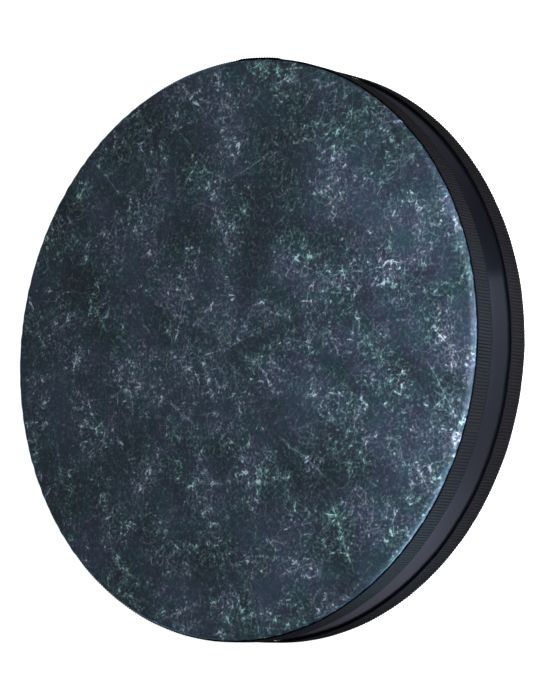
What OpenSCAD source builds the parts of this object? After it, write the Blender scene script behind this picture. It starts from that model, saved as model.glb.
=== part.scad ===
// Ocean drum: a shallow round drum with a film head on each face and loose steel balls
// rolling between them. The drum lies flat with its axis along Z: the clear head faces down
// and touches Z = 0, the patterned head faces up, and +Y is the top of the pattern.

/* [Drum] */
// Diameter over the trim tapes
drum_d = 406.4; // [340:0.2:560]
// Depth from the face of one head to the face of the other
drum_h = 63.5; // [45:0.5:90]

/* [Shell] */
// Thickness of the laminated wall
shell_wall = 6.4; // [5.5:0.1:9]
// Radius of the round on the outer side of each bearing edge
edge_r = 3.2; // [2:0.05:4]
// Width of the crest that the film runs over
crest_w = 0.6; // [0.3:0.1:1.2]
// Depth along the axis of the bevel on the inner side of each bearing edge
bevel_h = 2.5; // [1:0.1:5]

/* [Heads] */
// Thickness of the film
film_t = 0.25; // [0.15:0.05:0.5]
// Thickness of each glue line, between shell and film and between film and tape
glue_t = 0.05; // [0.03:0.01:0.15]

/* [Trim tapes] */
// Width of the woven tape
tape_w = 16.5; // [12:0.5:20]
// Thickness of the woven tape
tape_t = 1.3; // [0.5:0.05:1.5]
// Bare film left between the end of the round and the tape
tape_set = 0.45; // [0.2:0.05:2]
// Part of the tape's width that reaches past the film onto the bare shell
tape_past = 4.5; // [2:0.5:8]
// Bevel that the woven edge leaves on the tape's outer corners
tape_edge = 0.2; // [0.1:0.05:0.3]
// Length by which the tape's end laps over its start
lap_l = 32; // [8:1:40]
// Length over which the upper layer climbs onto the lower one
ramp_l = 4; // [2:0.5:8]
// Bearing of the lap in the upper tape, counted from +X towards +Y
upper_lap_at = 92; // [0:1:359]
// Bearing of the lap in the lower tape
lower_lap_at = 163; // [0:1:359]

/* [Balls] */
// Diameter of one steel ball
ball_d = 4.5; // [3:0.1:5.5]
// Rows that the balls lie in, an odd number
ball_rows = 49; // [31:2:49]
// Balls in the longest row
row_balls = 12; // [6:1:14]
// Fewest balls in a short row
least_balls = 3; // [2:1:4]
// Gap between a ball and the film that it lies on
ball_gap = 0.3; // [0.1:0.05:0.5]
// Least gap between two balls
ball_apart = 0.5; // [0.3:0.1:1]
// Least gap between a ball and the wall
wall_gap = 0.8; // [0.5:0.1:2]
// Seed of the scatter
scatter_seed = 16; // [1:1:99]

/* [Hidden] */
ball_row_names = [for (i = [0 : ball_rows - 1]) str("ball_row_", i < 9 ? "0" : "", i + 1)];

// Steps round a full circle, for the drum and for a ball
drum_steps = 180;
ball_steps = 48;

// Radii from the outside in: each layer lies on the next with a glue line between
tape_r = drum_d / 2;
film_r = tape_r - tape_t - glue_t;
shell_r = film_r - film_t - glue_t;
chamber_r = shell_r - shell_wall;

// The film stands off the shell by one glue line all over, also on the crests
film_round_r = edge_r + glue_t + film_t;
shell_foot = film_t + glue_t;
shell_h = drum_h - 2 * shell_foot;
shell_mid = drum_h / 2;

// Tape and collar, measured from the face of the head that they belong to
tape_from = film_round_r + tape_set;
collar_h = tape_from + tape_w - tape_past;

// Share of the balls' roaming radius that the rows spread over, and of each row's own
// chord that its balls lie in, so that the rest of the chord is free to roll along
rows_share = 0.965;
spread_share = 0.5;
// Share of that free travel over which the rows start at random
start_share = 0.85;

ball_z = film_t + ball_gap + ball_d / 2;
roam_r = chamber_r - wall_gap - ball_d / 2;
row_pitch = 2 * roam_r * rows_share / (ball_rows - 1);
row_stray = (row_pitch - ball_d - ball_apart) / 2;
start_draws = rands(-1, 1, ball_rows, scatter_seed);

function row_y(i) = (i - (ball_rows - 1) / 2) * row_pitch;
// Half of the chord that a ball's centre may roll along, for the ball that strays furthest out
function row_half(i) = sqrt(pow(roam_r, 2) - pow(abs(row_y(i)) + row_stray, 2));
function row_count(i) = max(least_balls, round(row_balls * row_half(i) / roam_r));
function row_step(i) = 2 * row_half(i) * spread_share / row_count(i);
// How far a row may roll each way from the middle of its chord, and where it starts
function row_free(i) = row_half(i) * (1 - spread_share);
function row_start(i) = start_draws[i] * start_share * row_free(i);

// Outline, right of the axis, of a disc whose upper outer corner is rounded
module rounded_disc(r, h, corner_r) {
    square([r - corner_r, h]);
    square([r, h - corner_r]);
    translate([r - corner_r, h - corner_r])
        circle(r = corner_r, $fn = drum_steps);
}

// Section of the upper half of the shell, from its middle up to the crest
module half_shell_section() {
    half_h = shell_h / 2;
    crest_in = shell_r - edge_r - crest_w;
    difference() {
        rounded_disc(shell_r, half_h, edge_r);
        square([chamber_r, half_h]);
        polygon([
            [chamber_r, half_h - bevel_h],
            [crest_in, half_h],
            [chamber_r, half_h]
        ]);
    }
}

module shell() {
    color("#32323c")
        translate([0, 0, shell_mid])
            rotate_extrude($fn = drum_steps) {
                half_shell_section();
                mirror([0, 1]) half_shell_section();
            }
}

// A film head with its face up at face_z: a flat membrane, the round and the glued collar
module head(face_z) {
    translate([0, 0, face_z - collar_h])
        rotate_extrude($fn = drum_steps)
            difference() {
                rounded_disc(film_r, collar_h, film_round_r);
                rounded_disc(film_r - film_t, collar_h - film_t, film_round_r - film_t);
            }
}

module printed_head() {
    color("#3a4650") head(drum_h);
}

module clear_head() {
    color("#c8d2d8", 0.3)
        translate([0, 0, drum_h])
            mirror([0, 0, 1])
                head(drum_h);
}

// Section of the tape. The film's edge under it leaves a step on its inner side.
module tape_section() {
    over_film = film_r + glue_t;
    over_shell = shell_r + glue_t;
    polygon([
        [over_shell, 0],
        [tape_r - tape_edge, 0],
        [tape_r, tape_edge],
        [tape_r, tape_w - tape_edge],
        [tape_r - tape_edge, tape_w],
        [over_film, tape_w],
        [over_film, tape_past - glue_t],
        [over_shell, tape_past - glue_t]
    ]);
}

// Section of the second layer, rooted halfway into the first
module lap_section() {
    root = tape_r - tape_t / 2;
    outer = tape_r + tape_t;
    polygon([
        [root, 0],
        [outer - tape_edge, 0],
        [outer, tape_edge],
        [outer, tape_w - tape_edge],
        [outer - tape_edge, tape_w],
        [root, tape_w]
    ]);
}

function round_point(r, turn) = [r * cos(turn), r * sin(turn)];
function turn_for(length) = length / tape_r * 180 / PI;

// One tape round the drum, its lower edge at Z = 0. It ends on top of its own start.
module trim_tape(lap_at) {
    root = tape_r - tape_t / 2;
    foot_turn = -turn_for(ramp_l);
    rotate_extrude($fn = drum_steps) tape_section();
    rotate([0, 0, lap_at]) {
        rotate_extrude(angle = turn_for(lap_l), $fn = drum_steps) lap_section();
        linear_extrude(tape_w)
            polygon([
                round_point(root, foot_turn),
                round_point(tape_r + tape_t, 0),
                round_point(root, 0)
            ]);
    }
}

// The upper tape is laid the other way round, so that its outer end points towards +X
module upper_trim_tape() {
    color("#2e303a")
        translate([0, 0, drum_h - tape_from - tape_w])
            mirror([0, 1, 0])
                trim_tape(-upper_lap_at);
}

module lower_trim_tape() {
    color("#2e303a")
        translate([0, 0, tape_from + tape_w])
            mirror([0, 0, 1])
                trim_tape(lower_lap_at);
}

// One row of balls on the clear head. Each ball keeps to its own stretch of the row.
module ball_row(i) {
    count = row_count(i);
    step = row_step(i);
    slack = (step - ball_d - ball_apart) / 2;
    along = rands(-1, 1, count, scatter_seed + 2 * i + 1);
    across = rands(-1, 1, count, scatter_seed + 2 * i + 2);
    color("#b9bcc0")
        for (k = [0 : count - 1])
            translate([
                row_start(i) + (k - (count - 1) / 2) * step + along[k] * slack,
                row_y(i) + across[k] * row_stray,
                ball_z
            ])
                sphere(d = ball_d, $fn = ball_steps);
}

shell();
printed_head();
clear_head();
upper_trim_tape();
lower_trim_tape();
for (i = [0 : ball_rows - 1])
    ball_row(i);
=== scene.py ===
import math
import random

import bpy
from mathutils import Matrix, Vector


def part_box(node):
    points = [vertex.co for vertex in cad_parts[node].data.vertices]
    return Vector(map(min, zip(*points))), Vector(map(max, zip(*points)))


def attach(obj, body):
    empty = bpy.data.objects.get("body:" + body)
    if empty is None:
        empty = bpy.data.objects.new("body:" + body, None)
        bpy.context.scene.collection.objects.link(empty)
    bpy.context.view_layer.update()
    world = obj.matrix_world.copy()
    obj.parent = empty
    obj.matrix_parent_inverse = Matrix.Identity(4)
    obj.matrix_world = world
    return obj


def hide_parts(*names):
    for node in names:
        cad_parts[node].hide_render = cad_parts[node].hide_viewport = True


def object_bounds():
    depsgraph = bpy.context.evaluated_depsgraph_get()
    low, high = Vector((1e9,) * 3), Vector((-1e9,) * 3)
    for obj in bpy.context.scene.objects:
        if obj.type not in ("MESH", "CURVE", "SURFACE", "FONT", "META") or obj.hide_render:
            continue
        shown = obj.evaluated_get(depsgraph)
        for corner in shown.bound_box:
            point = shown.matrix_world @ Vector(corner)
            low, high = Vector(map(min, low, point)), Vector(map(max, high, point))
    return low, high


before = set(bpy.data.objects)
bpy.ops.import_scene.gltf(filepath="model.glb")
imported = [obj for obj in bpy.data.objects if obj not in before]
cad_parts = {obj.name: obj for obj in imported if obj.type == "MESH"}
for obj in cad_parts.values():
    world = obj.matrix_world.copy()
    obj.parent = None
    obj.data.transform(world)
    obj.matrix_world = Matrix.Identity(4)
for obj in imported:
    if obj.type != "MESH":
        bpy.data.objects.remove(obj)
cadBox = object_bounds()
scene = bpy.context.scene
scene.view_settings.view_transform = "Standard"
drumTop = cadBox[1].z
drumRadius = cadBox[1].x
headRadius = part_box("printed_head")[1].x
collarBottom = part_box("printed_head")[0].z
print("frame loaded, drum", round(2000 * drumRadius, 1), "x", round(1000 * drumTop, 1), "mm")


def hexColour(code):
    # sRGB hex to linear
    parts = [int(code[i:i + 2], 16) / 255 for i in (1, 3, 5)]
    linear = [c / 12.92 if c <= 0.04045 else ((c + 0.055) / 1.055) ** 2.4 for c in parts]
    return (*linear, 1.0)


def addNode(tree, kind, inputs=(), **settings):
    # inputs go by name, by number or in order; a node gives its first output that is in use,
    # a socket is linked, and anything else is set
    node = tree.nodes.new(kind)
    for name, value in settings.items():
        setattr(node, name, value)
    for key, value in inputs.items() if isinstance(inputs, dict) else enumerate(inputs):
        if isinstance(value, bpy.types.Node):
            value = next(output for output in value.outputs if output.enabled)
        if isinstance(value, bpy.types.NodeSocket):
            tree.links.new(value, node.inputs[key])
        else:
            node.inputs[key].default_value = value
    return node


def fillRamp(ramp, stops):
    # stops: place along the ramp, linear colour
    elements = ramp.color_ramp.elements
    while len(elements) < len(stops):
        elements.new(0.5)
    for element, (place, colour) in zip(elements, stops):
        element.position = place
        element.color = colour


def newMaterial(name):
    material = bpy.data.materials.new(name)
    material.use_nodes = True
    material.node_tree.nodes.clear()
    return material, material.node_tree


def newGroup(name, kind, sockets, result):
    # sockets and result: label, kind of socket
    group = bpy.data.node_groups.new(name, kind)
    for label, socket in sockets:
        group.interface.new_socket(label, in_out="INPUT", socket_type="NodeSocket" + socket)
    label, socket = result
    group.interface.new_socket(label, in_out="OUTPUT", socket_type="NodeSocket" + socket)
    return group, addNode(group, "NodeGroupInput").outputs


def meshPiece(name, points, faces, materials, faceMaterials=None, smooth=True):
    mesh = bpy.data.meshes.new(name)
    mesh.from_pydata(points, [], faces)
    for material in materials:
        mesh.materials.append(material)
    if faceMaterials:
        mesh.polygons.foreach_set("material_index", faceMaterials)
    mesh.polygons.foreach_set("use_smooth", [smooth] * len(mesh.polygons))
    mesh.update()
    piece = bpy.data.objects.new(name, mesh)
    scene.collection.objects.link(piece)
    return piece


# Camera: three quarters from the right of the drum, a long lens

cameraView = {
    "place": (1.2171, -0.1369, 1.5562),
    "right": (0.78503, 0.05162, -0.61731),
    "up": (0.00334, 0.99615, 0.08756),
    "back": (0.61946, -0.07081, 0.78183),
    "lens": 143.24,
    "clip": (0.1, 50),
}
cameraData = bpy.data.cameras.new("studioCamera")
cameraData.lens = cameraView["lens"]
cameraData.clip_start, cameraData.clip_end = cameraView["clip"]
camera = bpy.data.objects.new("studioCamera", cameraData)
scene.collection.objects.link(camera)
axes = Matrix([cameraView["right"], cameraView["up"], cameraView["back"]]).transposed()
camera.matrix_world = Matrix.Translation(cameraView["place"]) @ axes.to_4x4()
scene.camera = camera


# Studio: white paper floor, dim room, one soft light low on the right and one high up

studio = {
    "floorHalf": 6.0,        # metres, as are all sizes below
    "floorGlow": 0.90,       # seen by the camera, so that the floor reads as white paper
    "paperColour": "#e8e8e8",
    "roomColour": "#c9d6e6",
    "roomStrength": 0.26,
    # what the floor sends back to the drum, by bearing from +X towards +Y: dark and pale cards
    "cardColour": "#dcdcf8",
    "cards": [
        (-180, 1.10), (-116, 0.90), (-100, 0.26), (-84, 0.06), (-74, 0.17), (-62, 0.38),
        (-52, 0.58), (-42, 0.63), (-32, 0.57), (-24, 0.44), (-14, 0.36), (0, 0.41), (10, 0.51),
        (16, 0.49), (17.5, 0.05), (32, 0.05), (44, 0.12), (56, 0.12), (66, 0.09), (80, 0.07),
        (104, 0.06), (122, 0.90), (180, 1.10)],
    # from this ring outwards lies a bright sheet, which only the turn of the film mirrors
    "sheetColour": "#a8d4f4",
    "sheetRing": (0.234, 0.246),
    "sheet": [
        (-180, 1.0), (-118, 0.9), (-100, 0.03), (-90, 0.03), (-76, 0.03), (-67, 0.1), (-61, 0.6),
        (-55, 6.5), (-47, 12.0), (-36, 9.0), (-28, 1.4), (-16, 1.0), (-4, 5.0), (3, 5.0),
        (12, 9.6), (18, 4.0), (24, 0.1), (34, 0.06), (46, 0.03), (104, 0.05), (122, 0.9),
        (180, 1.0)],
    # under the drum the floor shines evenly, so that the balls show through the clear head
    "underRing": (0.199, 0.202),
    "underLevel": 0.8,
    "lights": {
        # place, aim, width, height, watts, colour, whether glossy surfaces mirror it
        "rightSoftbox": (
            (0.46, 0.02, 0.22), (0.10, 0.01, 0.06), 0.50, 0.34, 6.4, "#e2eeff", False),
        "topSoftbox": ((0.9, 0.6, 1.6), (0.0, 0.0, 0.05), 1.0, 1.0, 5.0, "#fbf6ee", True),
    },
}


def makePaperSweep(setup):
    # Paper sweep: plain white to the camera, dark and pale cards to the drum, clear from below
    material, tree = newMaterial("paperSweep")
    side = addNode(tree, "ShaderNodeNewGeometry").outputs
    place = addNode(tree, "ShaderNodeSeparateXYZ", [side["Position"]]).outputs
    bearing = addNode(tree, "ShaderNodeMath", [place[1], place[0]], operation="ARCTAN2")
    bearingShare = addNode(tree, "ShaderNodeMapRange", {
        "Value": bearing, "From Min": -math.pi, "From Max": math.pi})
    fromAxis = addNode(tree, "ShaderNodeVectorMath", [side["Position"]], operation="LENGTH")

    def lightByBearing(levels, colour):
        # the ramp holds shares of the highest level
        top = max(level for at, level in levels)
        tint = hexColour(colour)[:3]
        ramp = addNode(tree, "ShaderNodeValToRGB", [bearingShare])
        fillRamp(ramp, [((at + 180) / 360, [level / top * part for part in tint] + [1])
                        for at, level in levels])
        return addNode(tree, "ShaderNodeVectorMath", {0: ramp, "Scale": top}, operation="SCALE")

    inner, outer = setup["sheetRing"]
    onSheet = addNode(tree, "ShaderNodeMapRange", {
        "Value": fromAxis, "From Min": inner, "From Max": outer}, interpolation_type="SMOOTHSTEP")
    around = addNode(tree, "ShaderNodeMix", {
        0: onSheet, 6: lightByBearing(setup["cards"], setup["cardColour"]),
        7: lightByBearing(setup["sheet"], setup["sheetColour"])}, data_type="RGBA")
    inner, outer = setup["underRing"]
    pastDrum = addNode(tree, "ShaderNodeMapRange", {
        "Value": fromAxis, "From Min": inner, "From Max": outer})
    lit = addNode(tree, "ShaderNodeMix", {
        0: pastDrum, 6: (setup["underLevel"],) * 3 + (1,), 7: around}, data_type="RGBA")
    bounce = addNode(tree, "ShaderNodeEmission", {"Color": lit})
    glow = addNode(tree, "ShaderNodeEmission", {"Strength": setup["floorGlow"]})
    paper = addNode(tree, "ShaderNodeBsdfDiffuse", {"Color": hexColour(setup["paperColour"])})
    seen = addNode(tree, "ShaderNodeAddShader", [glow, paper])
    path = addNode(tree, "ShaderNodeLightPath").outputs
    above = addNode(tree, "ShaderNodeMixShader", [path["Is Camera Ray"], bounce, seen])
    below = addNode(tree, "ShaderNodeBsdfTransparent")
    oneWay = addNode(tree, "ShaderNodeMixShader", [side["Backfacing"], above, below])
    addNode(tree, "ShaderNodeOutputMaterial", {"Surface": oneWay})
    return material


half = studio["floorHalf"]
floor = meshPiece(
    "studioFloor", [(-half, -half, 0), (half, -half, 0), (half, half, 0), (-half, half, 0)],
    [(0, 1, 2, 3)], [makePaperSweep(studio)], smooth=False)

room = bpy.data.worlds.new("studioRoom")
scene.world = room
room.use_nodes = True
room.node_tree.nodes.clear()
dim = addNode(room.node_tree, "ShaderNodeBackground", {
    "Color": hexColour(studio["roomColour"]), "Strength": studio["roomStrength"]})
white = addNode(room.node_tree, "ShaderNodeBackground", {
    "Color": hexColour("#ffffff"), "Strength": 1.0})
path = addNode(room.node_tree, "ShaderNodeLightPath").outputs
backdrop = addNode(room.node_tree, "ShaderNodeMixShader", [path["Is Camera Ray"], dim, white])
addNode(room.node_tree, "ShaderNodeOutputWorld", {"Surface": backdrop})

for name, (place, aim, width, height, watts, colour, mirrored) in studio["lights"].items():
    lightData = bpy.data.lights.new(name, "AREA")
    lightData.shape = "RECTANGLE"
    lightData.size, lightData.size_y = width, height
    lightData.energy = watts
    lightData.color = hexColour(colour)[:3]
    light = bpy.data.objects.new(name, lightData)
    light.location = place
    light.rotation_mode = "QUATERNION"
    light.rotation_quaternion = (Vector(aim) - Vector(place)).to_track_quat("-Z", "Y")
    light.visible_camera = False
    light.visible_glossy = mirrored
    scene.collection.objects.link(light)
print("camera, floor and lights")


# Both heads: polyester film, stretched flat, turned over the bearing edge and glued down

headFilm = {
    "thickness": 0.25,        # mm, as are all sizes below
    "edgeRound": 3.5,         # outer radius of the turn over the bearing edge
    "rings": [0, 40, 90, 140, 175, 190, 196],
    "turnSteps": 10,
    "firstDrop": 1.5,         # from the end of the turn down to the first ring of the collar
    "pucker": 0.45,           # how far the turn bulges over the glued collar
    "puckerGrows": 5,         # over so many rings of the turn
    "puckerWaves": 9,
    "waveCounts": (60, 150),  # fewest and most waves round the rim
    "waveHeights": (0.4, 1),
}


def filmRings(setup, inset):
    # (radius, height, distance along the film) from the centre out and down, in mm
    radius, top = headRadius * 1000 - inset, drumTop * 1000 - inset
    turn = setup["edgeRound"] - inset
    rings = [(r, top, r) for r in setup["rings"]]
    flatEnd = radius - turn
    for i in range(setup["turnSteps"] + 1):
        a = i / setup["turnSteps"] * math.pi / 2
        rings.append((flatEnd + turn * math.sin(a), top - turn + turn * math.cos(a),
                      flatEnd + turn * a))
    turnEnd = flatEnd + turn * math.pi / 2
    for depth in (setup["firstDrop"], top - turn - collarBottom * 1000):
        rings.append((radius, top - turn - depth, turnEnd + depth))
    return rings


def puckerTable(setup):
    # smooth in and out movement round the rim, about -1 to 1
    draw = random.Random(setup["seed"])
    waves = [(draw.randint(*setup["waveCounts"]), draw.uniform(0, 2 * math.pi),
              draw.uniform(*setup["waveHeights"])) for _ in range(setup["puckerWaves"])]
    spread = math.sqrt(setup["puckerWaves"])
    table = []
    for k in range(setup["aroundSteps"]):
        a = 2 * math.pi * k / setup["aroundSteps"]
        table.append(sum(s * math.cos(n * a + p) for n, p, s in waves) / spread)
    return table


def makeFilm(name, setup, outerMaterial, innerMaterial):
    # a closed shell of film: outer skin, then inner skin one thickness inside
    steps = setup["aroundSteps"]
    pucker = puckerTable(setup)
    points, places = [], []
    for inset in (0, setup["thickness"]):
        rings = filmRings(setup, inset)
        for index, (r, z, s) in enumerate(rings):
            if index == 0:
                points.append((0, 0, z / 1000))
                places.append((0, 0))
                continue
            step = index - len(setup["rings"])    # the pucker is gone under the tape
            near = max(0, min(1, step / setup["puckerGrows"])) if step <= setup["turnSteps"] else 0
            for k in range(steps):
                a = 2 * math.pi * k / steps
                rr = r + setup["pucker"] * near * (pucker[k] + 1) / 2
                points.append((rr * math.cos(a) / 1000, rr * math.sin(a) / 1000, z / 1000))
                places.append((s * math.cos(a) / 1000, s * math.sin(a) / 1000))
    faces, which = [], []
    count = 1 + (len(rings) - 1) * steps
    for skin in (0, 1):
        base = skin * count
        for k in range(steps):
            n = (k + 1) % steps
            first = (base, base + 1 + k, base + 1 + n)
            faces.append(first if skin == 0 else first[::-1])
            which.append(skin)
        for ring in range(len(rings) - 2):
            a0 = base + 1 + ring * steps
            for k in range(steps):
                n = (k + 1) % steps
                quad = (a0 + k, a0 + steps + k, a0 + steps + n, a0 + n)
                faces.append(quad if skin == 0 else quad[::-1])
                which.append(skin)
    lastOuter, lastInner = count - steps, 2 * count - steps
    for k in range(steps):
        n = (k + 1) % steps
        faces.append((lastOuter + k, lastInner + k, lastInner + n, lastOuter + n))
        which.append(1)
    piece = meshPiece(name, points, faces, [outerMaterial, innerMaterial], which)
    # metres along the film, so that the print turns over the rim with it
    layer = piece.data.uv_layers.new(name="filmPlace")
    for loop in piece.data.loops:
        layer.data[loop.index].uv = places[loop.vertex_index]
    return piece


# Printed head: the film with a fibre pattern printed on it

printedHead = {
    **headFilm,
    "aroundSteps": 720,
    "seed": 5,
    "groundDark": "#1c2228",
    "groundLight": "#2e3843",
    # multiplied into the ground
    "casts": [(0.35, "#ffe9f6"), (0.45, "#fff5fb"), (0.52, "#f4ffff"), (0.62, "#daffec")],
    "tints": [(0.30, "#a1b0bb"), (0.38, "#8db3a5"), (0.45, "#92b3aa"), (0.50, "#9fb1b5"),
              (0.55, "#a6acb9"), (0.60, "#b1b4b8"), (0.66, "#a4b2b2"), (0.74, "#93b5a9")],
    "bends": [(26.0, 5.0), (7.0, 0.35)],   # cloud mm, mm that the fibres bend off their line
    # fibres: cell mm, half length and half width as shares of the cell, empty share, weight, shift
    "mat": [
        (4.0, 0.54, 0.24, 0.25, 0.20, (17, 53, 0)),
        (6.2, 0.60, 0.15, 0.30, 0.28, (37, 73, 0)),
    ],
    "strands": [
        (3.6, 0.46, 0.26, 0.10, 0.44, (61, 19, 0)),
        (5.6, 0.56, 0.17, 0.10, 0.70, (47, 2, 0)),
        (9.0, 0.62, 0.10, 0.20, 0.85, (71, 29, 0)),
        (13.0, 0.64, 0.065, 0.20, 0.85, (5, 83, 0)),
    ],
    "specks": [
        (5.0, 0.20, 0.18, 0.55, 0.90, (23, 57, 0)),
        (8.0, 0.17, 0.14, 0.50, 1.30, (79, 13, 0)),
    ],
    "veins": [
        (34.0, 0.62, 0.020, 0.45, 0.34, (93, 41, 0)),
        (52.0, 0.62, 0.014, 0.35, 0.40, (8, 67, 0)),
    ],
    "veinReach": 5.0,          # times a vein's width over which strands tangle along it
    "veinInk": 0.8,
    # web of thin lines: cell mm, half width mm, weight, shift
    "web": [(4.6, 0.80, 0.20, (41, 59, 0)), (8.0, 0.80, 0.32, (2, 97, 0)),
            (14.0, 0.80, 0.40, (87, 31, 0))],
    # level lines of a cloud: cloud mm, half width in cloud units, weight, shift
    "threads": [(26.0, 0.013, 0.45, (23, 91, 0))],
    "paths": [(44.0, 0.055, 1.0, (0, 0, 0))],
    # how those two kinds of cloud are drawn, and the clouds that the tints follow: mm for the
    # tints, then detail and roughness
    "threadCloud": (1.0, 0.4),
    "pathCloud": (6.0, 0.66),
    "castCloud": (22.0, 5.0, 0.7),
    "tintCloud": (56.0, 5.0, 0.66),
    # other clouds: mm, detail, roughness, then the two levels of the cloud between which it
    # grows from the least to the most
    "webBreaks": (0.9, 2.0, 0.6, 0.44, 0.62, 0.0, 1.0),   # not mm but times the web's cell
    "ground": (60, 6.0, 0.6, 0.34, 0.68, 0.0, 1.0),
    "patch": (34.0, 3.0, 0.6, 0.40, 0.66, 0.0, 1.0),
    "knots": (6.5, 3.0, 0.62, 0.46, 0.74, 0.0, 1.0),
    "dust": (2.4, 2.0, 0.65, 0.50, 0.76, 0.0, 0.55),
    "speckle": (1.9, 2.0, 0.7, 0.33, 0.67, 0.48, 1.00),
    # what a patch or a knot lets through: times its level, plus this
    "matInPatch": (0.55, 0.34),
    "matInKnot": (0.7, 0.65),
    "looseInPatch": (0.45, 0.28),
    "tangleInPatch": (0.30, 0.09),
    "tangleInKnot": (2.2, 0.15),
    "tangleAlong": 2.1,        # more strands along the paths and the veins
    "haze": 0.06,              # the finest fibres, too small to draw, between the strands
    "inkPower": 1.25,
    "grainSize": 0.9,
    "grainDepth": 0.04,
}


def fibreGroup():
    # one straight fibre in each cell of a random net, turned at random
    group, start = newGroup("printedFibres", "ShaderNodeTree", [
        ("Place", "Vector"), ("Cell", "Float"), ("Half Length", "Float"), ("Half Width", "Float"),
        ("Empty", "Float"), ("Shift", "Vector")], ("Ink", "Float"))
    moved = addNode(group, "ShaderNodeVectorMath", [start["Place"], start["Shift"]],
                    operation="ADD")
    scaled = addNode(group, "ShaderNodeVectorMath", [moved, start["Cell"]], operation="DIVIDE")
    net = addNode(group, "ShaderNodeTexVoronoi", {
        "Vector": scaled, "Scale": 1.0, "Randomness": 0.85},
        voronoi_dimensions="2D", feature="F1").outputs
    draws = addNode(group, "ShaderNodeSeparateColor", [net["Color"]]).outputs
    away = addNode(group, "ShaderNodeVectorMath", [scaled, net["Position"]], operation="SUBTRACT")
    angle = addNode(group, "ShaderNodeMath", [draws[0], 2 * math.pi], operation="MULTIPLY")
    turned = addNode(group, "ShaderNodeVectorRotate", {"Vector": away, "Angle": angle},
                     rotation_type="Z_AXIS")
    flat = addNode(group, "ShaderNodeVectorMath", [turned], operation="ABSOLUTE")
    offLine = addNode(group, "ShaderNodeSeparateXYZ", [flat]).outputs
    # the fibre fades over the outer part of its length, and from its middle line to its sides
    fadeFrom = addNode(group, "ShaderNodeMath", [start["Half Length"], 0.45],
                       operation="MULTIPLY")
    along = addNode(group, "ShaderNodeMapRange", {
        "Value": offLine[0], "From Min": fadeFrom, "From Max": start["Half Length"],
        "To Min": 1.0, "To Max": 0.0}, interpolation_type="SMOOTHSTEP")
    across = addNode(group, "ShaderNodeMapRange", {
        "Value": offLine[1], "From Min": 0.0, "From Max": start["Half Width"],
        "To Min": 1.0, "To Max": 0.0}, interpolation_type="SMOOTHSTEP")
    stroke = addNode(group, "ShaderNodeMath", [along, across], operation="MULTIPLY")
    strength = addNode(group, "ShaderNodeMapRange", {
        "Value": draws[1], "From Min": start["Empty"], "From Max": 1.0})
    uneven = addNode(group, "ShaderNodeMath", [strength, 1.6], operation="POWER")  # few strong
    ink = addNode(group, "ShaderNodeMath", [stroke, uneven], operation="MULTIPLY")
    addNode(group, "NodeGroupOutput", [ink])
    return group


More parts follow.
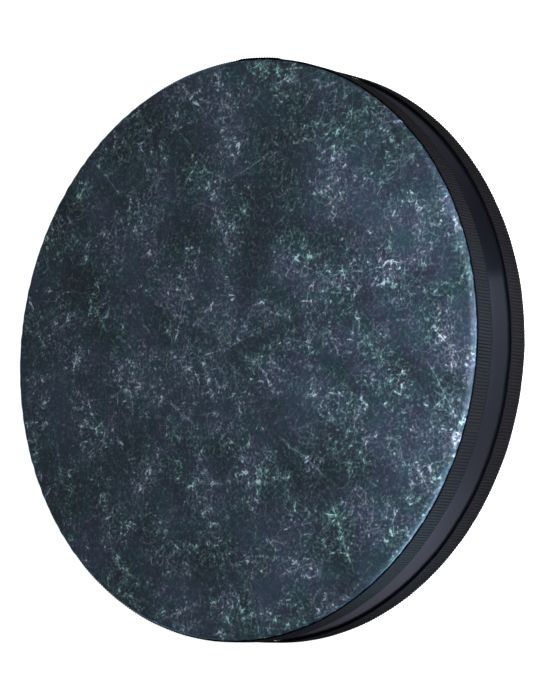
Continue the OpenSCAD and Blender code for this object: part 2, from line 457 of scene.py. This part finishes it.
def makePrintedFilm(setup):
    # Printed polyester film, satin: fine pale fibres in tints over a dark slate ground
    material, tree = newMaterial("printedPolyesterFilm")
    onFilm = addNode(tree, "ShaderNodeUVMap", uv_map="filmPlace")
    mm = addNode(tree, "ShaderNodeVectorMath", {0: onFilm, "Scale": 1000.0}, operation="SCALE")
    bent = mm
    for size, reach in setup["bends"]:
        cloud = addNode(tree, "ShaderNodeTexNoise", {
            "Vector": mm, "Scale": 1 / size, "Detail": 1.0, "Roughness": 0.5},
            noise_dimensions="2D")
        centred = addNode(tree, "ShaderNodeVectorMath", [
            cloud.outputs["Color"], (-0.5, -0.5, -0.5)], operation="ADD")
        bend = addNode(tree, "ShaderNodeVectorMath", {0: centred, "Scale": reach},
                       operation="SCALE")
        bent = addNode(tree, "ShaderNodeVectorMath", [bent, bend], operation="ADD")
    fibres = fibreGroup()

    def layFibres(layers, widen=1.0):
        total = 0.0
        for cell, length, width, empty, weight, shift in layers:
            layer = addNode(tree, "ShaderNodeGroup", {
                "Place": bent, "Cell": cell, "Half Length": length, "Half Width": width * widen,
                "Empty": empty, "Shift": shift}, node_tree=fibres)
            total = addNode(tree, "ShaderNodeMath", [layer, weight, total],
                            operation="MULTIPLY_ADD")
        return total

    def layLevelLines(layers, detail, roughness, fade):
        total = 0.0
        for size, width, weight, shift in layers:
            moved = addNode(tree, "ShaderNodeVectorMath", [bent, shift], operation="ADD")
            cloud = addNode(tree, "ShaderNodeTexNoise", {
                "Vector": moved, "Scale": 1 / size, "Detail": detail, "Roughness": roughness},
                noise_dimensions="2D")
            offLevel = addNode(tree, "ShaderNodeMath", [cloud, 0.5], operation="SUBTRACT")
            away = addNode(tree, "ShaderNodeMath", [offLevel], operation="ABSOLUTE")
            line = addNode(tree, "ShaderNodeMapRange", {
                "Value": away, "From Min": 0.0, "From Max": width,
                "To Min": weight, "To Max": 0.0}, interpolation_type=fade)
            total = addNode(tree, "ShaderNodeMath", [line, total], operation="ADD")
        return total

    def layCloud(place, size, detail, roughness, low, high, least, most):
        cloud = addNode(tree, "ShaderNodeTexNoise", {
            "Vector": place, "Scale": 1 / size, "Detail": detail, "Roughness": roughness},
            noise_dimensions="2D")
        return addNode(tree, "ShaderNodeMapRange", {
            "Value": cloud, "From Min": low, "From Max": high, "To Min": least, "To Max": most})

    def layWeb(layers):
        total = 0.0
        for cell, width, weight, shift in layers:
            place = addNode(tree, "ShaderNodeVectorMath", [bent, shift], operation="ADD")
            net = addNode(tree, "ShaderNodeTexVoronoi", {
                "Vector": place, "Scale": 1 / cell, "Randomness": 1.0},
                voronoi_dimensions="2D", feature="DISTANCE_TO_EDGE")
            line = addNode(tree, "ShaderNodeMapRange", {
                "Value": net, "From Min": 0.0, "From Max": width / cell,
                "To Min": weight, "To Max": 0.0}, interpolation_type="SMOOTHSTEP")
            size, *levels = setup["webBreaks"]
            unbroken = layCloud(place, cell * size, *levels)
            total = addNode(tree, "ShaderNodeMath", [line, unbroken, total],
                            operation="MULTIPLY_ADD")
        return total

    def layTints(place, size, detail, roughness, tints):
        cloud = addNode(tree, "ShaderNodeTexNoise", {
            "Vector": place, "Scale": 1 / size, "Detail": detail, "Roughness": roughness},
            noise_dimensions="2D")
        ramp = addNode(tree, "ShaderNodeValToRGB", [cloud])
        fillRamp(ramp, [(at, hexColour(code)) for at, code in tints])
        return ramp

    # the mat thins out and thickens in patches and knots
    patch = layCloud(mm, *setup["patch"])
    knots = layCloud(bent, *setup["knots"])
    lets = {}
    for name in ("matInPatch", "matInKnot", "looseInPatch", "tangleInPatch", "tangleInKnot"):
        cloud = patch if name.endswith("Patch") else knots
        lets[name] = addNode(tree, "ShaderNodeMath", [cloud, *setup[name]],
                             operation="MULTIPLY_ADD")
    mat = addNode(tree, "ShaderNodeMath", [
        layFibres(setup["mat"]), layCloud(mm, *setup["dust"])], operation="ADD")
    matShare = addNode(tree, "ShaderNodeMath", [lets["matInPatch"], lets["matInKnot"]],
                       operation="MULTIPLY")
    matInk = addNode(tree, "ShaderNodeMath", [mat, matShare], operation="MULTIPLY")

    # the strands tangle along winding paths and along the veins
    along = addNode(tree, "ShaderNodeMath", [
        layLevelLines(setup["paths"], *setup["pathCloud"], "SMOOTHERSTEP"), patch,
        layFibres(setup["veins"], setup["veinReach"])], operation="MULTIPLY_ADD")
    cluster = addNode(tree, "ShaderNodeMath", [
        along, setup["tangleAlong"], lets["tangleInPatch"]], operation="MULTIPLY_ADD")
    gather = addNode(tree, "ShaderNodeMath", [cluster, lets["tangleInKnot"]],
                     operation="MULTIPLY")
    drawn = addNode(tree, "ShaderNodeMath", [
        layFibres(setup["strands"]),
        layLevelLines(setup["threads"], *setup["threadCloud"], "SMOOTHSTEP")], operation="ADD")
    hazy = addNode(tree, "ShaderNodeMath", [drawn, setup["haze"]], operation="ADD")
    strandInk = addNode(tree, "ShaderNodeMath", [hazy, gather, matInk], operation="MULTIPLY_ADD")
    veinInk = addNode(tree, "ShaderNodeMath", [
        layFibres(setup["veins"]), setup["veinInk"], strandInk], operation="MULTIPLY_ADD")

    # specks and web lie loose between them, and everything prints in fine dots
    loose = addNode(tree, "ShaderNodeMath", [layFibres(setup["specks"]), layWeb(setup["web"])],
                    operation="ADD")
    looseInk = addNode(tree, "ShaderNodeMath", [loose, lets["looseInPatch"]],
                       operation="MULTIPLY")
    allInk = addNode(tree, "ShaderNodeMath", [veinInk, looseInk], operation="ADD")
    contrast = addNode(tree, "ShaderNodeMath", [allInk, setup["inkPower"]], operation="POWER")
    ink = addNode(tree, "ShaderNodeMath", [contrast, layCloud(mm, *setup["speckle"])],
                  operation="MULTIPLY", use_clamp=True)

    slate = addNode(tree, "ShaderNodeMix", {
        0: layCloud(mm, *setup["ground"]), 6: hexColour(setup["groundDark"]),
        7: hexColour(setup["groundLight"])}, data_type="RGBA")
    ground = addNode(tree, "ShaderNodeMix", {
        0: 1.0, 6: slate, 7: layTints(mm, *setup["castCloud"], setup["casts"])},
        data_type="RGBA", blend_type="MULTIPLY")
    colour = addNode(tree, "ShaderNodeMix", {
        0: ink, 6: ground, 7: layTints(bent, *setup["tintCloud"], setup["tints"])},
        data_type="RGBA")
    grain = addNode(tree, "ShaderNodeTexNoise", {
        "Vector": mm, "Scale": 1 / setup["grainSize"], "Detail": 2.0, "Roughness": 0.6},
        noise_dimensions="2D")
    satin = addNode(tree, "ShaderNodeMapRange", {
        "Value": grain, "From Min": 0.3, "From Max": 0.7, "To Min": 0.32, "To Max": 0.42})
    relief = addNode(tree, "ShaderNodeBump", {
        "Strength": 0.25, "Distance": setup["grainDepth"] / 1000, "Height": grain})
    surface = addNode(tree, "ShaderNodeBsdfPrincipled", {
        "Base Color": colour, "Roughness": satin, "IOR": 1.5, "Specular IOR Level": 0.5,
        "Normal": relief})
    addNode(tree, "ShaderNodeOutputMaterial", {"Surface": surface})
    return material


def makeFilmBack():
    # Unprinted back of the film, matt, dark where the print shows through
    material, tree = newMaterial("filmBackMatt")
    place = addNode(tree, "ShaderNodeTexCoord").outputs["Object"]
    noise = addNode(tree, "ShaderNodeTexNoise", {
        "Vector": place, "Scale": 1000 / 40.0, "Detail": 5.0, "Roughness": 0.65})   # 40 mm
    colour = addNode(tree, "ShaderNodeMix", {
        0: noise, 6: hexColour("#2a3036"), 7: hexColour("#474f57")}, data_type="RGBA")
    surface = addNode(tree, "ShaderNodeBsdfPrincipled", {
        "Base Color": colour, "Roughness": 0.6, "IOR": 1.5})
    addNode(tree, "ShaderNodeOutputMaterial", {"Surface": surface})
    return material


printedPiece = makeFilm("printedHeadFilm", printedHead, makePrintedFilm(printedHead),
                        makeFilmBack())
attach(printedPiece, "drum")
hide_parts("printed_head")
print("printed head")


# Clear head: the same film, unprinted, face down under the balls

clearHead = {
    **headFilm,
    "aroundSteps": 360,
    "seed": 8,
    "tint": "#f7f9fa",
    "roughness": 0.08,
    "facingShine": 0.04,      # share mirrored face on, which grows to all of it at a glance
}


def makeClearFilm(setup):
    # Clear polyester film, glossy: reflects at a glance and shows the balls behind it
    material, tree = newMaterial("clearPolyesterFilm")
    see = addNode(tree, "ShaderNodeBsdfTransparent", {"Color": hexColour(setup["tint"])})
    gloss = addNode(tree, "ShaderNodeBsdfGlossy", {
        "Color": hexColour("#ffffff"), "Roughness": setup["roughness"]})
    tilt = addNode(tree, "ShaderNodeLayerWeight", {"Blend": 0.5}).outputs["Facing"]
    glance = addNode(tree, "ShaderNodeMath", [tilt, 5.0], operation="POWER")
    share = addNode(tree, "ShaderNodeMath", [
        glance, 1 - setup["facingShine"], setup["facingShine"]], operation="MULTIPLY_ADD")
    surface = addNode(tree, "ShaderNodeMixShader", [share, see, gloss])
    addNode(tree, "ShaderNodeOutputMaterial", {"Surface": surface})
    return material


clearFilm = makeClearFilm(clearHead)
clearPiece = makeFilm("clearHeadFilm", clearHead, clearFilm, clearFilm)
for vertex in clearPiece.data.vertices:
    vertex.co.z = drumTop - vertex.co.z
clearPiece.data.flip_normals()
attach(clearPiece, "drum")
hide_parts("clear_head")
print("clear head")


# Trim tapes: ribbed woven tape round each collar, its end lapped over its start

trimTape = {
    "width": 16.5,          # mm, as are all sizes below
    "thickness": 1.3,
    "ribPitch": 2.25,
    "ribDepth": 0.50,
    "ribColumns": 6,
    "lapLength": 32,
    "rampLength": 7,
    "lapRise": 0.75,        # the second layer is pressed into the first
    "bevel": 0.2,
    "edgeWaver": 0.42,      # how far the woven edges wander
    "waverLength": 22,
    "selvedgeShadow": (0.75, 1.35),   # from the edge, where the painted shadow along the black selvedge fades into the ribs
    # painted shadow of the gap at the tape's edges: on its edge faces and in a band along each
    # selvedge
    "selvedgeShadowDark": "#020203",
    "selvedgeShadowLight": "#070709",
    # painted shade in the rib valleys, darker than the dye
    "valley": "#050506",
    "dyeDark": "#100b0a",
    "dyeLight": "#181110",
    "threadPitch": 0.45,    # warp threads side by side across the tape
    "threadDepth": 0.08,
    "lintSize": 1.2,
    "fadeSize": 30.0,
    # node that the tape replaces, bearing of its lap in degrees, way round, seed of its waver
    "laid": {
        "upperRibbedTape": ("upper_trim_tape", 92, -1, 2.0),
        "lowerRibbedTape": ("lower_trim_tape", 163, 1, 7.0),
    },
}


def ribbedTapeTree():
    group, start = newGroup("ribbedTape", "GeometryNodeTree", [
        ("Radius", "Float"), ("Width", "Float"), ("Thickness", "Float"), ("Rib Pitch", "Float"),
        ("Rib Depth", "Float"), ("Rib Columns", "Int"), ("Lap Length", "Float"),
        ("Ramp Length", "Float"), ("Lap Rise", "Float"), ("Bevel", "Float"),
        ("Edge Waver", "Float"), ("Waver Length", "Float"), ("Lap Bearing", "Float"),
        ("Direction", "Float"), ("Height", "Float"), ("Seed", "Float"), ("Material", "Material"),
        ("Edge Shadow Material", "Material")], ("Mesh", "Geometry"))

    # the spine: a line of points laid round the drum, its end climbing onto its start
    girth = addNode(group, "ShaderNodeMath", [start["Radius"], 2 * math.pi],
                    operation="MULTIPLY")
    length = addNode(group, "ShaderNodeMath", [girth, start["Lap Length"]], operation="ADD")
    ribRoom = addNode(group, "ShaderNodeMath", [length, start["Rib Pitch"]], operation="DIVIDE")
    ribs = addNode(group, "ShaderNodeMath", [ribRoom], operation="ROUND")
    columns = addNode(group, "ShaderNodeMath", [ribs, start["Rib Columns"]],
                      operation="MULTIPLY")
    points = addNode(group, "ShaderNodeMath", [columns, 1.0], operation="ADD")
    line = addNode(group, "GeometryNodeMeshLine", {"Count": points}, mode="OFFSET",
                   count_mode="TOTAL")
    index = addNode(group, "GeometryNodeInputIndex")
    share = addNode(group, "ShaderNodeMath", [index, columns], operation="DIVIDE")
    travel = addNode(group, "ShaderNodeMath", [share, length], operation="MULTIPLY")
    arc = addNode(group, "ShaderNodeMath", [travel, start["Radius"]], operation="DIVIDE")
    swing = addNode(group, "ShaderNodeMath", [arc, start["Direction"]], operation="MULTIPLY")
    bearing = addNode(group, "ShaderNodeMath", [swing, start["Lap Bearing"]], operation="ADD")
    halfThickness = addNode(group, "ShaderNodeMath", [start["Thickness"], 0.5],
                            operation="MULTIPLY")
    midRadius = addNode(group, "ShaderNodeMath", [start["Radius"], halfThickness],
                        operation="SUBTRACT")
    rampFrom = addNode(group, "ShaderNodeMath", [girth, start["Ramp Length"]],
                       operation="SUBTRACT")

    def reachAt(distance):
        # radius of the tape's middle, so far along the tape
        climb = addNode(group, "ShaderNodeMapRange", {
            "Value": distance, "From Min": rampFrom, "From Max": girth,
            "To Min": 0.0, "To Max": start["Lap Rise"]}, interpolation_type="SMOOTHSTEP")
        return addNode(group, "ShaderNodeMath", [midRadius, climb], operation="ADD")

    reach = reachAt(travel)
    east = addNode(group, "ShaderNodeMath", [bearing], operation="COSINE")
    north = addNode(group, "ShaderNodeMath", [bearing], operation="SINE")
    spot = addNode(group, "ShaderNodeCombineXYZ", [
        addNode(group, "ShaderNodeMath", [reach, east], operation="MULTIPLY"),
        addNode(group, "ShaderNodeMath", [reach, north], operation="MULTIPLY")])
    coil = addNode(group, "GeometryNodeSetPosition", {"Geometry": line, "Position": spot})
    spine = addNode(group, "GeometryNodeMeshToCurve", [coil])
    upright = addNode(group, "GeometryNodeSetCurveNormal", [spine], mode="Z_UP")
    measured = addNode(group, "GeometryNodeCaptureAttribute", [upright], domain="POINT")
    measured.capture_items.new("FLOAT", "Travel")
    group.links.new(travel.outputs[0], measured.inputs["Travel"])
    spineTravel = measured.outputs["Travel"]
    section = addNode(group, "GeometryNodeCurvePrimitiveQuadrilateral", {
        "Width": start["Thickness"], "Height": start["Width"]}, mode="RECTANGLE")
    eased = addNode(group, "GeometryNodeFilletCurve", {
        "Curve": section, "Count": 1, "Radius": start["Bevel"]}, mode="POLY")
    band = addNode(group, "GeometryNodeCurveToMesh", {
        "Curve": measured, "Profile Curve": eased, "Fill Caps": True})

    # ribs: rounded tops and sharp valleys, on the outer side only
    here = addNode(group, "GeometryNodeInputPosition")
    parts = addNode(group, "ShaderNodeSeparateXYZ", [here]).outputs
    flat = addNode(group, "ShaderNodeCombineXYZ", [parts[0], parts[1]])
    outward = addNode(group, "ShaderNodeVectorMath", [flat], operation="NORMALIZE")
    fromAxis = addNode(group, "ShaderNodeVectorMath", [flat], operation="LENGTH")
    outside = addNode(group, "ShaderNodeMath", [fromAxis, reachAt(spineTravel)],
                      operation="GREATER_THAN")
    ribTravel = addNode(group, "ShaderNodeMath", [spineTravel, ribs], operation="MULTIPLY")
    ribShare = addNode(group, "ShaderNodeMath", [ribTravel, length], operation="DIVIDE")
    turn = addNode(group, "ShaderNodeMath", [ribShare, math.pi], operation="MULTIPLY")
    wave = addNode(group, "ShaderNodeMath", [turn], operation="SINE")
    rib = addNode(group, "ShaderNodeMath", [wave], operation="ABSOLUTE")
    valley = addNode(group, "ShaderNodeMath", [rib, 1.0], operation="SUBTRACT")
    depth = addNode(group, "ShaderNodeMath", [valley, start["Rib Depth"]], operation="MULTIPLY")
    sink = addNode(group, "ShaderNodeMath", [depth, outside], operation="MULTIPLY")
    pushed = addNode(group, "ShaderNodeVectorMath", {0: outward, "Scale": sink},
                     operation="SCALE")

    # the woven edges wander: the cloud strays about a quarter from its middle, so times 4
    perMetre = addNode(group, "ShaderNodeMath", [1.0, start["Waver Length"]],
                       operation="DIVIDE")
    drift = addNode(group, "ShaderNodeTexNoise", {
        "Vector": here, "W": start["Seed"], "Scale": perMetre, "Detail": 1.0},
        noise_dimensions="4D")
    centred = addNode(group, "ShaderNodeMath", [drift, 0.5], operation="SUBTRACT")
    most = addNode(group, "ShaderNodeMath", [start["Edge Waver"], 4.0], operation="MULTIPLY")
    waver = addNode(group, "ShaderNodeMath", [centred, most], operation="MULTIPLY")
    lifted = addNode(group, "ShaderNodeCombineXYZ", {2: waver})
    shift = addNode(group, "ShaderNodeVectorMath", [pushed, lifted], operation="ADD")
    ribbed = addNode(group, "GeometryNodeSetPosition", {"Geometry": band, "Offset": shift})

    # the weave is laid along the tape: metres travelled, then metres across
    halfWidth = addNode(group, "ShaderNodeMath", [start["Width"], 0.5], operation="MULTIPLY")
    across = addNode(group, "ShaderNodeMath", [parts[2], halfWidth], operation="ADD")
    weave = addNode(group, "ShaderNodeCombineXYZ", [spineTravel, across])
    laid = addNode(group, "GeometryNodeStoreNamedAttribute", {
        "Geometry": ribbed, "Name": "tapePlace", "Value": weave},
        data_type="FLOAT2", domain="CORNER")
    lift = addNode(group, "ShaderNodeCombineXYZ", {2: start["Height"]})
    raised = addNode(group, "GeometryNodeSetPosition", {"Geometry": laid, "Offset": lift})
    creases = addNode(group, "GeometryNodeInputMeshEdgeAngle")
    soft = addNode(group, "ShaderNodeMath", [creases, math.radians(38)], operation="LESS_THAN")
    shaded = addNode(group, "GeometryNodeSetShadeSmooth", {
        "Geometry": raised, "Shade Smooth": soft}, domain="EDGE")
    realized = addNode(group, "GeometryNodeRealizeInstances", [shaded])
    coated = addNode(group, "GeometryNodeSetMaterial", {
        "Geometry": realized, "Material": start["Material"]})
    # faces turned up or down, the tape's edges, take the material with painted shadow
    facing = addNode(group, "ShaderNodeSeparateXYZ", [addNode(group, "GeometryNodeInputNormal")])
    upOrDown = addNode(group, "ShaderNodeMath", [facing.outputs[2]], operation="ABSOLUTE")
    onEdge = addNode(group, "ShaderNodeMath", [upOrDown, 0.6], operation="GREATER_THAN")
    edged = addNode(group, "GeometryNodeSetMaterial", {
        "Geometry": coated, "Selection": onEdge, "Material": start["Edge Shadow Material"]})
    addNode(group, "NodeGroupOutput", [edged])
    return group


def makeTapeEdgeShadow(setup):
    # Edge faces of the woven tape: matt black thread ends, painted near black as the shadow in the
    # gap at the tape's edge
    material, tree = newMaterial("wovenTapeEdgeShadow")
    place = addNode(tree, "ShaderNodeUVMap", uv_map="tapePlace")
    lint = addNode(tree, "ShaderNodeTexNoise", {
        "Vector": place, "Scale": 1000 / setup["lintSize"], "Detail": 2.0},
        noise_dimensions="2D")
    colour = addNode(tree, "ShaderNodeMix", {
        0: lint, 6: hexColour(setup["selvedgeShadowDark"]), 7: hexColour(setup["selvedgeShadowLight"])},
        data_type="RGBA")
    surface = addNode(tree, "ShaderNodeBsdfPrincipled", {
        "Base Color": colour, "Roughness": 0.9, "IOR": 1.5, "Specular IOR Level": 0.05})
    addNode(tree, "ShaderNodeOutputMaterial", {"Surface": surface})
    return material


def makeWovenTape(setup, laidPitch):
    # Polyester grosgrain, woven: dull black, ribs across it with painted shade in the valleys,
    # black selvedges with painted shadow along them
    material, tree = newMaterial("wovenPolyesterTape")
    place = addNode(tree, "ShaderNodeUVMap", uv_map="tapePlace")
    mm = addNode(tree, "ShaderNodeVectorMath", {0: place, "Scale": 1000.0}, operation="SCALE")
    parts = addNode(tree, "ShaderNodeSeparateXYZ", [mm]).outputs
    ribTurn = addNode(tree, "ShaderNodeMath", [parts[0], math.pi / laidPitch],
                      operation="MULTIPLY")
    ribWave = addNode(tree, "ShaderNodeMath", [ribTurn], operation="SINE")
    ribHeight = addNode(tree, "ShaderNodeMath", [ribWave], operation="ABSOLUTE")
    ribTop = addNode(tree, "ShaderNodeMapRange", {
        "Value": ribHeight, "From Min": 0.35, "From Max": 0.90}, interpolation_type="SMOOTHSTEP")
    halfWidth = setup["width"] / 2
    middle = addNode(tree, "ShaderNodeMath", [parts[1], halfWidth], operation="SUBTRACT")
    fromMiddle = addNode(tree, "ShaderNodeMath", [middle], operation="ABSOLUTE")
    inside = addNode(tree, "ShaderNodeMapRange", {
        "Value": fromMiddle, "From Min": halfWidth - setup["selvedgeShadow"][1],
        "From Max": halfWidth - setup["selvedgeShadow"][0], "To Min": 1.0, "To Max": 0.0},
        interpolation_type="SMOOTHSTEP")
    threadTurn = addNode(tree, "ShaderNodeMath", [
        parts[1], 2 * math.pi / setup["threadPitch"]], operation="MULTIPLY")
    thread = addNode(tree, "ShaderNodeMath", [threadTurn], operation="SINE")
    lint = addNode(tree, "ShaderNodeTexNoise", {
        "Vector": mm, "Scale": 1 / setup["lintSize"], "Detail": 3.0, "Roughness": 0.6},
        noise_dimensions="2D")
    fade = addNode(tree, "ShaderNodeTexNoise", {
        "Vector": mm, "Scale": 1 / setup["fadeSize"], "Detail": 2.0}, noise_dimensions="2D")
    mixed = addNode(tree, "ShaderNodeMath", [fade, 0.6, lint], operation="MULTIPLY_ADD")
    share = addNode(tree, "ShaderNodeMapRange", {
        "Value": mixed, "From Min": 0.5, "From Max": 1.1})
    dyed = addNode(tree, "ShaderNodeMix", {
        0: share, 6: hexColour(setup["dyeDark"]), 7: hexColour(setup["dyeLight"])},
        data_type="RGBA")
    # the rib valleys take painted shade, the rib tops the dye
    ribbed = addNode(tree, "ShaderNodeMix", {
        0: ribTop, 6: hexColour(setup["valley"]), 7: dyed}, data_type="RGBA")
    # a band along each selvedge takes painted shadow
    colour = addNode(tree, "ShaderNodeMix", {
        0: inside, 6: hexColour(setup["selvedgeShadowDark"]), 7: ribbed}, data_type="RGBA")
    relief = addNode(tree, "ShaderNodeBump", {
        "Strength": 0.5, "Distance": setup["threadDepth"] / 1000, "Height": thread})
    surface = addNode(tree, "ShaderNodeBsdfPrincipled", {
        "Base Color": colour, "Roughness": 0.60, "IOR": 1.5, "Specular IOR Level": 0.085,
        "Sheen Weight": 0.015, "Sheen Roughness": 0.5, "Normal": relief})
    addNode(tree, "ShaderNodeOutputMaterial", {"Surface": surface})
    return material


def makeTape(name, setup):
    node, lapBearing, direction, seed = setup["laid"][name]
    low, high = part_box(node)
    holder = bpy.data.objects.new(name + "Maker", bpy.data.meshes.new(name + "Maker"))
    scene.collection.objects.link(holder)
    modifier = holder.modifiers.new("ribbedTape", "NODES")
    modifier.node_group = tapeTree
    values = {
        "Radius": drumRadius,
        "Rib Columns": setup["ribColumns"],
        "Lap Bearing": math.radians(lapBearing),
        "Direction": direction,
        "Height": (low.z + high.z) / 2,
        "Seed": seed,
        "Material": wovenTape,
        "Edge Shadow Material": tapeEdgeShadow,
    }
    for label, size in (
            ("Width", "width"), ("Thickness", "thickness"), ("Rib Pitch", "ribPitch"),
            ("Rib Depth", "ribDepth"), ("Lap Length", "lapLength"),
            ("Ramp Length", "rampLength"), ("Lap Rise", "lapRise"), ("Bevel", "bevel"),
            ("Edge Waver", "edgeWaver"), ("Waver Length", "waverLength")):
        values[label] = setup[size] / 1000
    for item in tapeTree.interface.items_tree:
        if item.item_type == "SOCKET" and item.in_out == "INPUT":
            modifier[item.identifier] = values[item.name]
    evaluated = holder.evaluated_get(bpy.context.evaluated_depsgraph_get())
    mesh = bpy.data.meshes.new_from_object(evaluated)
    mesh.name = name
    piece = bpy.data.objects.new(name, mesh)
    scene.collection.objects.link(piece)
    bpy.data.objects.remove(holder)
    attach(piece, "drum")
    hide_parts(node)
    print(name, len(mesh.polygons), "faces")


tapeTree = ribbedTapeTree()
tapeLength = 2000 * math.pi * drumRadius + trimTape["lapLength"]
wholeRibs = round(tapeLength / trimTape["ribPitch"])
wovenTape = makeWovenTape(trimTape, tapeLength / wholeRibs)
tapeEdgeShadow = makeTapeEdgeShadow(trimTape)
for name in trimTape["laid"]:
    makeTape(name, trimTape)


# Shell: laminated fibre wall under satin black lacquer, bare inside

shellWall = {
    "roundAndCrest": 3.8,       # mm from the outer face in to the end of the lacquer on the crest
    "lacquerFade": 0.4,
    "lacquerDark": "#09090b",
    "lacquerLight": "#0e0d11",
    "cloudSize": 35.0,
    "satin": (0.18, 0.24),      # roughness, which follows the clouds in the colour
    "peelSize": 1.6,
    "peelDepth": 0.06,
    "bareDark": "#3b332c",
    "bareLight": "#5c5147",
    "fibreSize": 4.0,
    "bareRoughness": 0.85,
}


def makeShellFinish(setup):
    # Fibre laminate with a sprayed satin lacquer: black with a violet cast and faint orange
    # peel, bare and matt inside
    material, tree = newMaterial("satinLacqueredLaminate")
    place = addNode(tree, "ShaderNodeTexCoord").outputs["Object"]
    acrossAxis = addNode(tree, "ShaderNodeVectorMath", [place, (1, 1, 0)], operation="MULTIPLY")
    fromAxis = addNode(tree, "ShaderNodeVectorMath", [acrossAxis], operation="LENGTH")
    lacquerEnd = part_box("shell")[1].x - setup["roundAndCrest"] / 1000
    lacquer = addNode(tree, "ShaderNodeMapRange", {
        "Value": fromAxis, "From Min": lacquerEnd - setup["lacquerFade"] / 1000,
        "From Max": lacquerEnd})
    fibre = addNode(tree, "ShaderNodeTexNoise", {
        "Vector": place, "Scale": 1000 / setup["fibreSize"], "Detail": 5.0, "Roughness": 0.7})
    bare = addNode(tree, "ShaderNodeMix", {
        0: fibre, 6: hexColour(setup["bareDark"]), 7: hexColour(setup["bareLight"])},
        data_type="RGBA")
    peel = addNode(tree, "ShaderNodeTexNoise", {
        "Vector": place, "Scale": 1000 / setup["peelSize"], "Detail": 2.0, "Roughness": 0.5})
    cloud = addNode(tree, "ShaderNodeTexNoise", {
        "Vector": place, "Scale": 1000 / setup["cloudSize"], "Detail": 4.0, "Roughness": 0.6})
    black = addNode(tree, "ShaderNodeMix", {
        0: cloud, 6: hexColour(setup["lacquerDark"]), 7: hexColour(setup["lacquerLight"])},
        data_type="RGBA")
    satin = addNode(tree, "ShaderNodeMapRange", {
        "Value": cloud, "To Min": setup["satin"][0], "To Max": setup["satin"][1]})
    rough = addNode(tree, "ShaderNodeMapRange", {
        "Value": lacquer, "To Min": setup["bareRoughness"], "To Max": satin})
    skin = addNode(tree, "ShaderNodeMix", {0: lacquer, 6: bare, 7: black}, data_type="RGBA")
    relief = addNode(tree, "ShaderNodeBump", {
        "Strength": 0.3, "Distance": setup["peelDepth"] / 1000, "Height": peel})
    surface = addNode(tree, "ShaderNodeBsdfPrincipled", {
        "Base Color": skin, "Roughness": rough, "IOR": 1.5, "Normal": relief})
    addNode(tree, "ShaderNodeOutputMaterial", {"Surface": surface})
    return material


shellFinish = makeShellFinish(shellWall)
for slot in bpy.data.objects["shell"].material_slots:
    slot.material = shellFinish


# Balls: bright steel

steelBall = {
    "dark": "#a9adb2",
    "bright": "#cfd2d6",
    "markSize": 1.5,        # mm
    "roughness": (0.10, 0.26),
}


def makeBallSteel(setup):
    # Carbon steel, ground and tumbled: bright, with faint handling marks
    material, tree = newMaterial("tumbledBallSteel")
    place = addNode(tree, "ShaderNodeTexCoord").outputs["Object"]
    marks = addNode(tree, "ShaderNodeTexNoise", {
        "Vector": place, "Scale": 1000 / setup["markSize"], "Detail": 3.0, "Roughness": 0.6})
    rough = addNode(tree, "ShaderNodeMapRange", {
        "Value": marks, "To Min": setup["roughness"][0], "To Max": setup["roughness"][1]})
    colour = addNode(tree, "ShaderNodeMix", {
        0: marks, 6: hexColour(setup["dark"]), 7: hexColour(setup["bright"])},
        data_type="RGBA")
    surface = addNode(tree, "ShaderNodeBsdfPrincipled", {
        "Base Color": colour, "Metallic": 1.0, "Roughness": rough})
    addNode(tree, "ShaderNodeOutputMaterial", {"Surface": surface})
    return material


ballSteel = makeBallSteel(steelBall)
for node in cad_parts:
    if node.startswith("ball_row"):
        for slot in bpy.data.objects[node].material_slots:
            slot.material = ballSteel
print("shell and balls finished")
